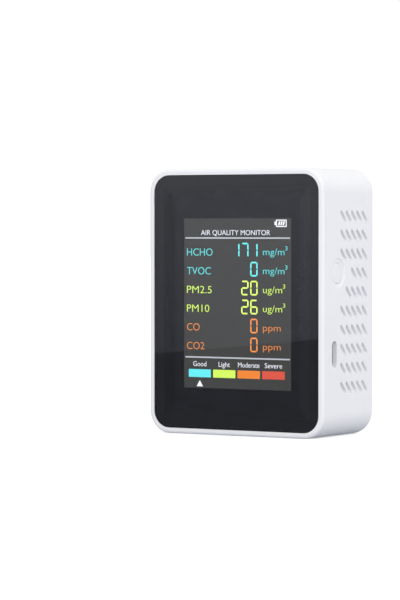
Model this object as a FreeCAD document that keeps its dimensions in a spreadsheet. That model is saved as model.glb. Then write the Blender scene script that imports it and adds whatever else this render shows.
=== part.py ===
import FreeCAD, Part
import math
import os

import Sketcher
from FreeCAD import Rotation, Vector

# Air quality monitor. The origin is the middle of the base. +Z is up, the front faces -Y, and +X is the
# right side as seen from the front. "Behind the front" is a distance measured from the front rim towards +Y.

SIZES = [
    ("body_width", 70.0, "outer width, X"),
    ("body_depth", 35.5, "outer depth, Y"),
    ("body_height", 92.0, "outer height, Z"),
    ("body_corner", 8.0, "radius of the four long corners"),
    ("front_round", 1.0, "rounding of the front rim"),
    ("back_round", 1.5, "rounding of the back rim"),
    ("wall", 2.0, "side wall thickness"),
    ("inner_corner", 6.0, "radius of the corners inside the rim"),
    ("panel_sink", 0.1, "panel face behind the front rim"),
    ("panel_gap", 0.05, "gap between the panel and the rim"),
    ("panel_wide", 66.0, "front panel width, with its mask"),
    ("panel_high", 88.0, "front panel height, with its mask"),
    ("panel_thick", 1.2, "front panel thickness"),
    ("bond_thick", 0.03, "clear adhesive between the panel and its black mask"),
    ("film_thick", 0.07, "mask thickness behind the panel"),
    ("edge_print", 0.12, "mask thickness round the panel's edge"),
    ("edge_sink", 0.05, "front edge of the mask behind the panel's face"),
    ("window_wide", 43.2, "display window width"),
    ("window_high", 58.85, "display window height"),
    ("window_x", 0.0, "display window centre, X"),
    ("window_z", 45.55, "display window centre, Z"),
    ("tape_thick", 0.1, "panel adhesive thickness"),
    ("web_front", 1.5, "front web, its face behind the front"),
    ("web_thick", 1.6, "front web thickness"),
    ("opening_wide", 50.6, "opening in the web for the display"),
    ("opening_high", 71.35, "the same, height"),
    ("opening_z", 41.875, "the same, centre height"),
    ("glass_front", 1.55, "display cell, behind the front"),
    ("glass_thick", 1.2, "display cell thickness"),
    ("glass_wide", 49.0, "display cell width"),
    ("glass_high", 68.0, "display cell height"),
    ("glass_z", 42.75, "display cell centre height"),
    ("light_wide", 50.0, "backlight width"),
    ("light_high", 69.2, "backlight height"),
    ("light_thick", 1.45, "backlight thickness"),
    ("light_z", 42.65, "backlight centre height"),
    ("light_corner", 0.8, "radius of the backlight's corners"),
    ("flex_wide", 18.0, "display flat cable width"),
    ("flex_thick", 0.2, "display flat cable thickness"),
    ("flex_plug", 0.5, "flat cable in its connector, behind the rear face of the board"),
    ("board_front", 4.35, "circuit board, behind the front"),
    ("board_thick", 1.6, "circuit board thickness"),
    ("board_wide", 63.0, "circuit board width"),
    ("board_high", 71.0, "circuit board height"),
    ("board_z", 46.0, "circuit board centre height"),
    ("board_rear", 5.95, "rear face of the circuit board, behind the front"),
    ("board_corner", 1.5, "radius of the board's corners"),
    ("board_hole", 1.0, "radius of the board's screw holes"),
    ("board_head_radius", 1.6, "board screw head radius"),
    ("board_head_high", 1.1, "board screw head height"),
    ("board_screw_long", 3.4, "board screw length under its head"),
    ("post_x", 29.5, "board posts, distance from the middle"),
    ("post_low", 13.5, "lower board posts, height"),
    ("post_pitch", 65.0, "board posts, height between them"),
    ("post_radius", 2.2, "board post radius"),
    ("post_hole", 0.75, "board post pilot hole radius"),
    ("post_depth", 2.2, "board post pilot hole depth"),
    ("post_root", 0.5, "how far posts and bosses run into the web"),
    ("boss_x", 29.0, "cover bosses, distance from the middle"),
    ("boss_low", 6.5, "lower cover bosses, height"),
    ("boss_pitch", 79.0, "cover bosses, height between them"),
    ("boss_radius", 3.0, "cover boss radius"),
    ("boss_hole", 0.95, "cover boss pilot hole radius"),
    ("boss_depth", 8.0, "cover boss pilot hole depth"),
    ("cover_sink", 0.3, "rear cover face inside the back rim"),
    ("cover_thick", 2.0, "rear cover thickness"),
    ("cover_gap", 0.15, "gap between the cover and the shell"),
    ("cover_round", 0.4, "rounding of the cover's outer edge"),
    ("head_radius", 2.1, "cover screw head radius"),
    ("head_high", 1.1, "cover screw head height"),
    ("head_sink", 1.3, "depth of the pocket for a cover screw head"),
    ("head_gap", 0.2, "gap round a cover screw head"),
    ("shank_gap", 0.35, "gap round a cover screw shank"),
    ("cover_screw_long", 7.0, "cover screw length under its head"),
    ("cut_past", 0.5, "how far a cut runs past the wall"),
    ("vent_long", 5.5, "vent slot length"),
    ("vent_wide", 1.45, "vent slot width"),
    ("vent_lean", 45.0, "lean of the vent slots, in degrees"),
    ("vent_draft", 9.0, "narrowing of the vent slots towards the inside, in degrees"),
    ("vent_front", 13.75, "first vent column, behind the front"),
    ("vent_column", 3.76, "distance between vent columns"),
    ("vent_top", 75.54, "top vent row, height"),
    ("vent_row", 6.51, "distance between vent rows"),
    ("button_back", 9.65, "button centre, behind the front"),
    ("button_z", 56.3, "button centre, height"),
    ("button_radius", 3.45, "button cap radius"),
    ("button_gap", 0.12, "gap round the cap"),
    ("button_sink", 0.18, "middle of the cap inside the outer face"),
    ("button_round", 0.2, "rounding of the cap's rim"),
    ("dome_rise", 0.12, "height of the cap's dome"),
    ("dish_radius", 4.95, "radius of the flat dish round the button"),
    ("dish_deep", 0.32, "depth of the dish"),
    ("dish_round", 0.12, "rounding of the dish's outer edge"),
    ("cap_long", 1.92, "cap, from its middle to its flange"),
    ("flange_radius", 4.7, "radius of the flange that keeps the cap in"),
    ("flange_thick", 0.8, "flange thickness"),
    ("stem_radius", 1.5, "radius of the stem towards the switch"),
    ("stem_long", 1.0, "stem length"),
    ("switch_inner", 26.0, "switch body, its inner end, X"),
    ("switch_long", 3.5, "switch body, X"),
    ("switch_high", 6.0, "switch body, Z"),
    ("switch_behind", 3.0, "switch body behind the button's axis"),
    ("plunger_radius", 1.7, "switch plunger radius"),
    ("plunger_gap", 0.05, "gap round the plunger"),
    ("plunger_long", 2.8, "switch plunger length"),
    ("plunger_rest", 0.5, "space under the plunger, in its bore"),
    ("plunger_bore", 1.8, "depth of the plunger's bore"),
    ("port_back", 7.55, "charging port centre, behind the front"),
    ("port_z", 28.7, "charging port centre, height"),
    ("port_long", 9.1, "port slot, Z"),
    ("port_wide", 3.32, "port slot, Y"),
    ("usb_long", 8.94, "receptacle shell, Z"),
    ("usb_wide", 3.16, "receptacle shell, Y"),
    ("usb_deep", 7.5, "receptacle shell, X"),
    ("usb_sink", 1.6, "receptacle mouth inside the outer face"),
    ("usb_wall", 0.3, "receptacle shell thickness"),
    ("usb_fit", 0.02, "gap round the moulded body in the shell"),
    ("tongue_base", 1.8, "moulded body at the receptacle's inner end, X"),
    ("tongue_sink", 0.9, "tongue tip inside the receptacle's mouth"),
    ("tongue_thick", 0.7, "tongue, Y"),
    ("tongue_wide", 6.7, "tongue, Z"),
    ("battery_wide", 50.0, "battery cell, X"),
    ("battery_high", 34.0, "battery cell, Z"),
    ("battery_thick", 10.0, "battery cell, Y"),
    ("battery_z", 26.0, "battery cell centre height"),
    ("battery_round", 1.2, "rounding of the cell's edges"),
    ("pad_thick", 0.8, "foam pads against the rear cover"),
    ("pad_round", 0.2, "rounding of the pads' edges"),
    ("battery_pad_wide", 40.0, "battery pad, X"),
    ("battery_pad_high", 24.0, "battery pad, Z"),
    ("sensor_pad_wide", 36.0, "particle sensor pad, X"),
    ("sensor_pad_high", 26.0, "particle sensor pad, Z"),
    ("cushion_front", 18.2, "foam cushion in front of the battery, behind the front"),
    ("cushion_thick", 4.15, "cushion, Y"),
    ("cushion_wide", 40.0, "cushion, X"),
    ("cushion_high", 30.0, "cushion, Z"),
    ("divider_front", 7.0, "foam divider between the battery and the particle sensor, behind the front"),
    ("divider_deep", 26.0, "divider, Y"),
    ("divider_wide", 38.0, "divider, X"),
    ("divider_high", 3.1, "divider, Z"),
    ("divider_z", 44.75, "divider centre height"),
    ("sensor_x", -1.0, "particle sensor centre, X"),
    ("sensor_z", 65.5, "particle sensor centre height"),
    ("sensor_wide", 48.0, "particle sensor, X"),
    ("sensor_high", 38.0, "particle sensor, Z"),
    ("sensor_deep", 20.0, "particle sensor, Y"),
    ("sensor_wall", 1.5, "particle sensor wall"),
    ("sensor_corner", 1.0, "radius of the particle sensor's corners"),
    ("inlet_z", 54.0, "air inlet and laser, height"),
    ("inlet_long", 9.0, "air inlet, Z"),
    ("inlet_wide", 4.0, "air inlet, Y"),
    ("laser_x", 4.0, "laser holder, its inner end, X"),
    ("laser_side", 8.0, "laser holder, X and Z"),
    ("laser_deep", 9.0, "laser holder, Y"),
    ("barrel_radius", 2.7, "laser barrel radius"),
    ("barrel_long", 7.0, "laser barrel length"),
    ("fan_side", 16.8, "fan frame side"),
    ("fan_thick", 7.0, "fan frame thickness, X"),
    ("fan_x", 14.4, "fan frame, inner face"),
    ("fan_z", 74.0, "fan axis height"),
    ("fan_bore", 7.2, "fan frame bore radius"),
    ("fan_back", 1.0, "fan frame back plate"),
    ("fan_gap", 0.1, "gap between the fan frame and the sensor case"),
    ("fan_vent_out", 5.1, "holes in the back plate, from the axis"),
    ("fan_vent_radius", 1.6, "radius of those holes"),
    ("fan_vent_count", 8, "holes in the back plate"),
    ("bush_radius", 1.6, "bush outer radius"),
    ("bush_long", 1.4, "bush length"),
    ("bush_bore", 2.0, "depth of the bush's bore"),
    ("rotor_radius", 6.7, "fan rotor tip radius"),
    ("rotor_lift", 0.3, "gap between the bush and the rotor"),
    ("hub_radius", 3.2, "fan rotor hub radius"),
    ("hub_long", 3.8, "fan rotor hub length, X"),
    ("blade_thick", 0.7, "fan blade thickness"),
    ("blade_root", 0.6, "how far a blade runs into the hub"),
    ("blade_count", 7, "fan blades"),
    ("spindle_radius", 0.75, "fan spindle radius"),
    ("spindle_fit", 0.04, "running clearance round the spindle"),
    ("spindle_long", 2.0, "spindle length under the hub"),
    ("lead_radius", 0.55, "battery lead radius"),
    ("lead_bend", 1.2, "radius of the leads' bends"),
    ("lead_rise", 0.6, "straight length of a lead above the cell"),
    ("lead_plug", 2.6, "leads in their connector, behind the rear face of the board"),
    ("lead_red_x", 22.0, "red lead, X"),
    ("lead_black_x", 23.6, "black lead, X"),
]

# Square components on the rear of the board, in the sheet as NAME_x, NAME_z and so on
BLOCK_SIZES = ("x", "z", "wide", "deep", "high", "round")
BLOCKS = [
    ("fpc_connector", (0.0, 14.75, 24.0, 2.0, 4.5, 0.2)),
    ("mcu_chip", (2.0, 58.0, 10.0, 1.2, 10.0, 0.15)),
    ("charger_chip", (22.0, 41.5, 5.0, 1.5, 4.0, 0.2)),
    ("battery_connector", (22.8, 17.75, 6.0, 5.05, 6.5, 0.3)),
    ("co2_sensor", (-22.5, 31.0, 15.0, 9.0, 24.0, 0.8)),
]

# Round components on the rear of the board, in the sheet as NAME_x, NAME_z and so on
CAN_SIZES = ("x", "z", "radius", "tall", "round")
CANS = [
    ("co_sensor", (-5.0, 35.0, 6.5, 12.0, 0.8)),
    ("hcho_sensor", (12.5, 30.0, 7.0, 9.0, 0.6)),
    ("voc_sensor", (2.5, 23.0, 4.2, 6.5, 0.5)),
    ("buzzer", (-21.0, 68.0, 4.5, 4.5, 0.4)),
]

# Blocks of vent slots: first row, first column, rows, columns
RIGHT_VENTS = [(0, 0, 3, 5), (3, 2, 1, 3), (4, 1, 1, 4), (5, 0, 5, 5)]
LEFT_VENTS = [(0, 0, 10, 5)]

doc = FreeCAD.newDocument("AirQualityMonitor")
nodes = []


def make_sheet():
    """The driving dimensions, one plain number in each row."""
    sheet = doc.addObject("Spreadsheet::Sheet", "dims")
    rows = list(SIZES)
    for words, components in ((BLOCK_SIZES, BLOCKS), (CAN_SIZES, CANS)):
        for name, values in components:
            rows += [(f"{name}_{word}", value, f"{name}, {word}") for word, value in zip(words, values)]
    for row, (alias, value, meaning) in enumerate(rows, start=1):
        sheet.set(f"A{row}", meaning)
        sheet.set(f"B{row}", str(value))
        sheet.setAlias(f"B{row}", alias)
    doc.recompute()
    return sheet


dims = make_sheet()


def behind(distance):
    """Y of a plane that lies the given distance behind the front."""
    return f"({distance} - dims.body_depth / 2)"


def number(owner, expression):
    value = owner.evalExpression(expression)
    return float(getattr(value, "Value", value))


# Sketches and features


def new_body(label):
    body = doc.addObject("PartDesign::Body", label)
    body.Label = label
    nodes.append(body)
    return body


def new_sketch(body, name, role, u="0", v="0", w="0"):
    """A sketch on an origin plane of its body, with its own origin moved by u and v in the plane and by w
    along the plane's normal, which is -Y for the XZ plane."""
    sketch = body.newObject("Sketcher::SketchObject", f"{body.Label}_{name}")
    origin_plane = next(f for f in body.Origin.OriginFeatures if f.Role == role)
    sketch.AttachmentSupport = (origin_plane, [""])
    sketch.MapMode = "FlatFace"
    sketch.setExpression(".AttachmentOffset.Base.x", u)
    sketch.setExpression(".AttachmentOffset.Base.y", v)
    sketch.setExpression(".AttachmentOffset.Base.z", w)
    return sketch


def bind(sketch, index, name, expression):
    sketch.renameConstraint(index, name)
    sketch.setExpression(f"Constraints.{name}", expression)


def draw_rectangle(sketch, wide, high):
    """A rectangle about the sketch's origin."""
    half_u = number(sketch, wide) / 2
    half_v = number(sketch, high) / 2
    corners = [(-half_u, -half_v), (half_u, -half_v), (half_u, half_v), (-half_u, half_v)]
    points = [Vector(u, v, 0) for u, v in corners]
    for k in range(4):
        sketch.addGeometry(Part.LineSegment(points[k], points[(k + 1) % 4]), False)
    for k in range(4):
        sketch.addConstraint(Sketcher.Constraint("Coincident", k, 2, (k + 1) % 4, 1))
    for k in (0, 2):
        sketch.addConstraint(Sketcher.Constraint("Horizontal", k))
        sketch.addConstraint(Sketcher.Constraint("Vertical", k + 1))
    sketch.addConstraint(Sketcher.Constraint("Symmetric", 0, 1, 1, 2, -1, 1))
    bind(sketch, sketch.addConstraint(Sketcher.Constraint("DistanceX", 0, 1, 0, 2, 2 * half_u)), "wide", wide)
    bind(sketch, sketch.addConstraint(Sketcher.Constraint("DistanceY", 1, 1, 1, 2, 2 * half_v)), "high", high)


def draw_rounded_rectangle(sketch, wide, high, corner):
    """A rectangle with round corners about the sketch's origin: lines are 0, 2, 4 and 6, arcs the rest."""
    half_u = number(sketch, wide) / 2
    half_v = number(sketch, high) / 2
    radius = number(sketch, corner)
    in_u = half_u - radius
    in_v = half_v - radius
    line_ends = [((-in_u, -half_v), (in_u, -half_v)), ((half_u, -in_v), (half_u, in_v)),
                 ((in_u, half_v), (-in_u, half_v)), ((-half_u, in_v), (-half_u, -in_v))]
    centres = [(in_u, -in_v), (in_u, in_v), (-in_u, in_v), (-in_u, -in_v)]
    normal = Vector(0, 0, 1)
    for k in range(4):
        start, end = line_ends[k]
        sketch.addGeometry(Part.LineSegment(Vector(*start, 0), Vector(*end, 0)), False)
        turn = (k - 1) * math.pi / 2
        circle = Part.Circle(Vector(*centres[k], 0), normal, radius)
        sketch.addGeometry(Part.ArcOfCircle(circle, turn, turn + math.pi / 2), False)
    for k in range(8):
        sketch.addConstraint(Sketcher.Constraint("Tangent", k, 2, (k + 1) % 8, 1))
    for k in (0, 4):
        sketch.addConstraint(Sketcher.Constraint("Horizontal", k))
        sketch.addConstraint(Sketcher.Constraint("Vertical", k + 2))
    for k in (3, 5, 7):
        sketch.addConstraint(Sketcher.Constraint("Equal", 1, k))
    sketch.addConstraint(Sketcher.Constraint("Symmetric", 7, 3, 3, 3, -1, 1))
    bind(sketch, sketch.addConstraint(Sketcher.Constraint("Radius", 1, radius)), "corner", corner)
    bind(sketch, sketch.addConstraint(Sketcher.Constraint("DistanceX", 6, 1, 2, 1, 2 * half_u)), "wide", wide)
    bind(sketch, sketch.addConstraint(Sketcher.Constraint("DistanceY", 0, 1, 4, 1, 2 * half_v)), "high", high)


def draw_outline(sketch, wide, high, corner):
    if corner:
        draw_rounded_rectangle(sketch, wide, high, corner)
    else:
        draw_rectangle(sketch, wide, high)


def draw_circle(sketch, radius):
    """A circle about the sketch's origin."""
    sketch.addGeometry(Part.Circle(Vector(), Vector(0, 0, 1), number(sketch, radius)), False)
    sketch.addConstraint(Sketcher.Constraint("Coincident", 0, 3, -1, 1))
    size = Sketcher.Constraint("Radius", 0, number(sketch, radius))
    bind(sketch, sketch.addConstraint(size), "radius", radius)


def draw_slot(sketch, long, wide, lean):
    """A round-ended slot about the sketch's origin. Its length leans by lean degrees from the sketch's
    second axis towards the negative side of its first."""
    radius = number(sketch, wide) / 2
    reach = number(sketch, long) / 2 - radius
    turn = math.radians(lean)
    along = Vector(-math.sin(turn), math.cos(turn), 0)
    across = Vector(math.cos(turn), math.sin(turn), 0)
    top = along * reach
    start = math.atan2(across.y, across.x)
    normal = Vector(0, 0, 1)
    upper = Part.ArcOfCircle(Part.Circle(top, normal, radius), start, start + math.pi)
    lower = Part.ArcOfCircle(Part.Circle(-top, normal, radius), start + math.pi, start + 2 * math.pi)
    left = Part.LineSegment(top - across * radius, -top - across * radius)
    right = Part.LineSegment(-top + across * radius, top + across * radius)
    for curve in (upper, left, lower, right):
        sketch.addGeometry(curve, False)
    for k in range(4):
        sketch.addConstraint(Sketcher.Constraint("Tangent", k, 2, (k + 1) % 4, 1))
    sketch.addConstraint(Sketcher.Constraint("Equal", 0, 2))
    sketch.addConstraint(Sketcher.Constraint("Symmetric", 0, 3, 2, 3, -1, 1))
    bind(sketch, sketch.addConstraint(Sketcher.Constraint("Radius", 0, radius)), "radius", f"{wide} / 2")
    bind(sketch, sketch.addConstraint(Sketcher.Constraint("DistanceY", 2, 3, 0, 3, 2 * top.y)), "rise",
         f"({long} - {wide}) * cos({lean})")
    if lean == 0:
        sketch.addConstraint(Sketcher.Constraint("Vertical", 1))
    else:
        run = Sketcher.Constraint("DistanceX", 0, 3, 2, 3, -2 * top.x)
        bind(sketch, sketch.addConstraint(run), "run", f"({long} - {wide}) * sin({lean})")


def pad(body, sketch, length):
    feature = body.newObject("PartDesign::Pad", f"{sketch.Name}_pad")
    feature.Profile = sketch
    feature.setExpression("Length", length)
    doc.recompute()
    return feature


def pocket(body, sketch, length, along_normal=False, draft="0"):
    """A cut against the sketch's normal, or along it, which narrows by draft degrees. It stops the script
    if it cuts nothing."""
    volume = body.Shape.Volume
    feature = body.newObject("PartDesign::Pocket", f"{sketch.Name}_pocket")
    feature.Profile = sketch
    feature.Reversed = along_normal
    feature.setExpression("Length", length)
    feature.setExpression("TaperAngle", f"-({draft})")
    doc.recompute()
    if body.Shape.Volume >= volume:
        raise RuntimeError(f"{feature.Name} cuts nothing")
    return feature


def round_edges(body, radius, wanted):
    """Rounds the edges of the body so far for which wanted(edge) is true."""
    base = body.Tip
    names = [f"Edge{k}" for k, edge in enumerate(base.Shape.Edges, start=1) if wanted(edge)]
    feature = body.newObject("PartDesign::Fillet", f"{body.Label}_round")
    feature.Base = (base, names)
    feature.setExpression("Radius", radius)
    doc.recompute()
    return feature


def grid(body, feature, sketch, columns, column_step, rows, row_step, downwards=False):
    """Repeats a feature along the sketch's two axes, and stops the script if a copy is missing."""
    pattern = body.newObject("PartDesign::LinearPattern", f"{feature.Name}_grid")
    pattern.Originals = [feature]
    pattern.Direction = (sketch, ["H_Axis"])
    pattern.Occurrences = columns
    pattern.setExpression("Length", f"{column_step} * {columns - 1}")
    if rows > 1:
        pattern.Direction2 = (sketch, ["V_Axis"])
        pattern.Occurrences2 = rows
        pattern.setExpression("Length2", f"{row_step} * {rows - 1}")
        pattern.Reversed2 = downwards
    body.Tip = pattern
    before = feature.BaseFeature.Shape.Volume
    one = feature.Shape.Volume - before
    doc.recompute()
    if abs(pattern.Shape.Volume - before - one * columns * rows) > 0.01 * abs(one):
        raise RuntimeError(f"{pattern.Name} misses a copy")


def at_y(edge, y):
    box = edge.BoundBox
    return abs(box.YMin - y) < 1e-4 and abs(box.YMax - y) < 1e-4


def front_plate(label, front, thick, wide, high, x="0", z="dims.body_height / 2", corner=None):
    """A plate parallel to the front. Its front face lies the given distance behind the front."""
    body = new_body(label)
    sketch = new_sketch(body, "outline", "XZ_Plane", x, z, f"-({behind(front)} + {thick})")
    draw_outline(sketch, wide, high, corner)
    pad(body, sketch, thick)
    return body


def cut_window(body, name, front, deep, wide, high, x, z, corner=None):
    """A rectangular cut towards +Y, starting the given distance behind the front."""
    sketch = new_sketch(body, name, "XZ_Plane", x, z, f"-{behind(front)}")
    draw_outline(sketch, wide, high, corner)
    pocket(body, sketch, deep)


def block(label, x, front, z, wide, deep, high):
    """A box from its centre in X and Z and its front face's distance behind the front."""
    box = doc.addObject("Part::Box", label)
    box.Label = label
    box.setExpression("Length", wide)
    box.setExpression("Width", deep)
    box.setExpression("Height", high)
    box.setExpression(".Placement.Base.x", f"{x} - ({wide}) / 2")
    box.setExpression(".Placement.Base.y", behind(front))
    box.setExpression(".Placement.Base.z", f"{z} - ({high}) / 2")
    return box


def rounded_block(label, radius, *place):
    """A box with all its edges rounded."""
    box = block(f"{label}_blank", *place)
    doc.recompute()
    round_all(label, box, number(box, radius), box.Shape.Edges)


def round_all(label, blank, radius, wanted):
    """A sub-part made by rounding the wanted edges of a blank."""
    smooth = doc.addObject("Part::Fillet", label)
    smooth.Label = label
    smooth.Base = blank
    chosen = [k for k, edge in enumerate(blank.Shape.Edges, start=1) if any(edge.isSame(w) for w in wanted)]
    smooth.Edges = [(k, radius, radius) for k in chosen]
    nodes.append(smooth)


def can(label):
    """A round component standing on the rear of the board, with its top edge rounded."""
    tube = doc.addObject("Part::Cylinder", f"{label}_blank")
    tube.setExpression("Radius", f"dims.{label}_radius")
    tube.setExpression("Height", f"dims.{label}_tall")
    tube.Placement.Rotation = Rotation(Vector(1, 0, 0), -90)
    tube.setExpression(".Placement.Base.x", f"dims.{label}_x")
    tube.setExpression(".Placement.Base.y", behind("dims.board_rear"))
    tube.setExpression(".Placement.Base.z", f"dims.{label}_z")
    doc.recompute()
    far = max(edge.BoundBox.YMax for edge in tube.Shape.Edges)
    rim = [edge for edge in tube.Shape.Edges if at_y(edge, far)]
    round_all(label, tube, number(tube, f"dims.{label}_round"), rim)


# The shell


def make_housing():
    """The moulded shell: rim, four sides, the web behind the panel, bosses and posts, and its openings."""
    body = front_plate("front_housing", "0", "dims.body_depth", "dims.body_width", "dims.body_height",
                       corner="dims.body_corner")
    half_depth = dims.body_depth / 2
    round_edges(body, "dims.front_round", lambda edge: at_y(edge, -half_depth))
    round_edges(body, "dims.back_round", lambda edge: at_y(edge, half_depth))

    middle = "dims.body_height / 2"
    inside_wide = "dims.body_width - 2 * dims.wall"
    inside_high = "dims.body_height - 2 * dims.wall"
    web_rear = "dims.web_front + dims.web_thick"
    hollow = new_sketch(body, "hollow", "XZ_Plane", "0", middle, "-dims.body_depth / 2")
    draw_rounded_rectangle(hollow, inside_wide, inside_high, "dims.inner_corner")
    pocket(body, hollow, f"dims.body_depth - ({web_rear})", along_normal=True)

    cut_window(body, "panel_seat", "0", "dims.web_front", "dims.panel_wide + 2 * dims.panel_gap",
               "dims.panel_high + 2 * dims.panel_gap", "0", middle, "dims.inner_corner + dims.panel_gap")
    cut_window(body, "display_opening", "dims.web_front", "dims.web_thick", "dims.opening_wide",
               "dims.opening_high", "dims.window_x", "dims.opening_z")

    boss_rear = "dims.body_depth - dims.cover_sink - dims.cover_thick"
    into_web = f"({web_rear}) + dims.post_root"
    add_posts(body, "boss", boss_rear, f"{boss_rear} - {into_web}", "dims.boss_depth")
    add_posts(body, "post", "dims.board_front", f"dims.board_front - {into_web}", "dims.post_depth")
    cut_vents(body)
    cut_button_seat(body)
    cut_port(body)


def add_posts(body, kind, rear, length, hole_depth):
    """Four posts that rise from the web towards the back, each with a pilot hole in its end."""
    place = (f"-dims.{kind}_x", f"dims.{kind}_low", f"-{behind(rear)}")
    solid = new_sketch(body, kind, "XZ_Plane", *place)
    draw_circle(solid, f"dims.{kind}_radius")
    step = f"2 * dims.{kind}_x"
    grid(body, pad(body, solid, length), solid, 2, step, 2, f"dims.{kind}_pitch")
    hole = new_sketch(body, f"{kind}_hole", "XZ_Plane", *place)
    draw_circle(hole, f"dims.{kind}_hole")
    drilled = pocket(body, hole, hole_depth, along_normal=True)
    grid(body, drilled, hole, 2, step, 2, f"dims.{kind}_pitch")


def cut_vents(body):
    """Slanted slots through both sides. On the right side two rows are shorter, to leave room for the
    button."""
    for side, word, blocks in ((1, "right", RIGHT_VENTS), (-1, "left", LEFT_VENTS)):
        for row, column, rows, columns in blocks:
            across = behind(f"dims.vent_front + {column} * dims.vent_column")
            up = f"dims.vent_top - {row} * dims.vent_row"
            sketch = new_sketch(body, f"vent_{word}_{row}", "YZ_Plane", across, up,
                                f"{side} * dims.body_width / 2")
            draw_slot(sketch, "dims.vent_long", "dims.vent_wide", dims.vent_lean)
            first = pocket(body, sketch, "dims.wall + dims.cut_past", along_normal=side < 0,
                           draft="dims.vent_draft")
            grid(body, first, sketch, columns, "dims.vent_column", rows, "dims.vent_row", downwards=True)


def cut_button_seat(body):
    """The hole for the button cap, in the middle of a shallow flat dish with a soft outer edge."""
    for name, radius, deep in (("dish", "dims.dish_radius", "dims.dish_deep"),
                               ("hole", "dims.button_radius + dims.button_gap", "dims.wall + dims.cut_past")):
        sketch = new_sketch(body, f"button_{name}", "YZ_Plane", behind("dims.button_back"), "dims.button_z",
                            "dims.body_width / 2")
        draw_circle(sketch, radius)
        pocket(body, sketch, deep)
    centre = Vector(dims.body_width / 2, dims.button_back - dims.body_depth / 2, dims.button_z)

    def is_rim(edge):
        return isinstance(edge.Curve, Part.Circle) and edge.Curve.Center.distanceToPoint(centre) < 1e-4

    round_edges(body, "dims.dish_round", is_rim)


def cut_port(body):
    sketch = new_sketch(body, "port", "YZ_Plane", behind("dims.port_back"), "dims.port_z",
                        "dims.body_width / 2")
    draw_slot(sketch, "dims.port_long", "dims.port_wide", 0)
    pocket(body, sketch, "dims.wall + dims.cut_past")


def make_rear_cover():
    """A flat plate that fills the back of the shell and is screwed to its four bosses."""
    front = "dims.body_depth - dims.cover_sink - dims.cover_thick"
    body = front_plate("rear_cover", front, "dims.cover_thick",
                       "dims.body_width - 2 * dims.wall - 2 * dims.cover_gap",
                       "dims.body_height - 2 * dims.wall - 2 * dims.cover_gap",
                       corner="dims.inner_corner - dims.cover_gap")
    outer = dims.body_depth / 2 - dims.cover_sink
    round_edges(body, "dims.cover_round", lambda edge: at_y(edge, outer))
    place = ("-dims.boss_x", "dims.boss_low", f"-{behind('dims.body_depth - dims.cover_sink')}")
    for name, radius, deep in (("head", "dims.head_radius + dims.head_gap", "dims.head_sink"),
                               ("shank", "dims.boss_hole + dims.shank_gap", "dims.cover_thick")):
        sketch = new_sketch(body, name, "XZ_Plane", *place)
        draw_circle(sketch, radius)
        first = pocket(body, sketch, deep, along_normal=True)
        grid(body, first, sketch, 2, "2 * dims.boss_x", 2, "dims.boss_pitch")


# The panel and the display


def make_panel():
    """A clear sheet bonded into a thin black mask, which covers its rear and its edge, and the tape that
    holds both in the shell."""
    clear = "(dims.edge_print + dims.bond_thick)"
    front_plate("front_panel", "dims.panel_sink", "dims.panel_thick", f"dims.panel_wide - 2 * {clear}",
                f"dims.panel_high - 2 * {clear}", corner=f"dims.inner_corner - {clear}")
    edge_front = "dims.panel_sink + dims.edge_sink"
    film_front = "dims.panel_sink + dims.panel_thick + dims.bond_thick"
    film_rear = f"{film_front} + dims.film_thick"
    film = front_plate("panel_print_film", edge_front, f"{film_rear} - ({edge_front})", "dims.panel_wide",
                       "dims.panel_high", corner="dims.inner_corner")
    cut_window(film, "recess", edge_front, f"{film_front} - ({edge_front})",
               "dims.panel_wide - 2 * dims.edge_print", "dims.panel_high - 2 * dims.edge_print", "0",
               "dims.body_height / 2", corner="dims.inner_corner - dims.edge_print")
    cut_window(film, "window", film_front, "dims.film_thick", "dims.window_wide", "dims.window_high",
               "dims.window_x", "dims.window_z")
    tape = front_plate("panel_adhesive", film_rear, "dims.tape_thick", "dims.panel_wide", "dims.panel_high",
                       corner="dims.inner_corner")
    cut_window(tape, "opening", film_rear, "dims.tape_thick", "dims.opening_wide", "dims.opening_high",
               "dims.window_x", "dims.opening_z")


def make_display():
    front_plate("lcd_glass", "dims.glass_front", "dims.glass_thick", "dims.glass_wide", "dims.glass_high",
                "dims.window_x", "dims.glass_z")
    front_plate("lcd_backlight", "dims.glass_front + dims.glass_thick", "dims.light_thick", "dims.light_wide",
                "dims.light_high", "dims.window_x", "dims.light_z", corner="dims.light_corner")
    make_flex()


def make_flex():
    """The display's flat cable: down from the glass, round the lower edge of the board and up into the
    connector on the board's rear."""
    thick = dims.flex_thick
    width = dims.flex_wide
    glass_middle = dims.glass_front + dims.glass_thick / 2 - dims.body_depth / 2
    connector_y = dims.board_rear + dims.flex_plug - dims.body_depth / 2
    glass_low = dims.glass_z - dims.glass_high / 2
    connector_low = dims.fpc_connector_z - dims.fpc_connector_high / 2
    bend = (connector_y - glass_middle) / 2
    rear_low = Vector(0, connector_y, glass_low)
    lowest = Vector(0, glass_middle + bend, glass_low - bend)
    start = Vector(0, glass_middle, glass_low)
    arc = Part.Arc(start, lowest, rear_low).toShape()
    rise = Part.LineSegment(rear_low, Vector(0, connector_y, connector_low)).toShape()
    spine = Part.Wire([arc, rise])
    left = dims.window_x - width / 2
    corners = [(left, -thick / 2), (left + width, -thick / 2), (left + width, thick / 2), (left, thick / 2)]
    section = Part.makePolygon([Vector(x, glass_middle + y, glass_low) for x, y in corners + corners[:1]])
    flex = doc.addObject("Part::Feature", "lcd_flex")
    flex.Shape = spine.makePipeShell([section], True, False)
    flex.Label = "lcd_flex"
    nodes.append(flex)


# The board and what stands on it


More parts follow.
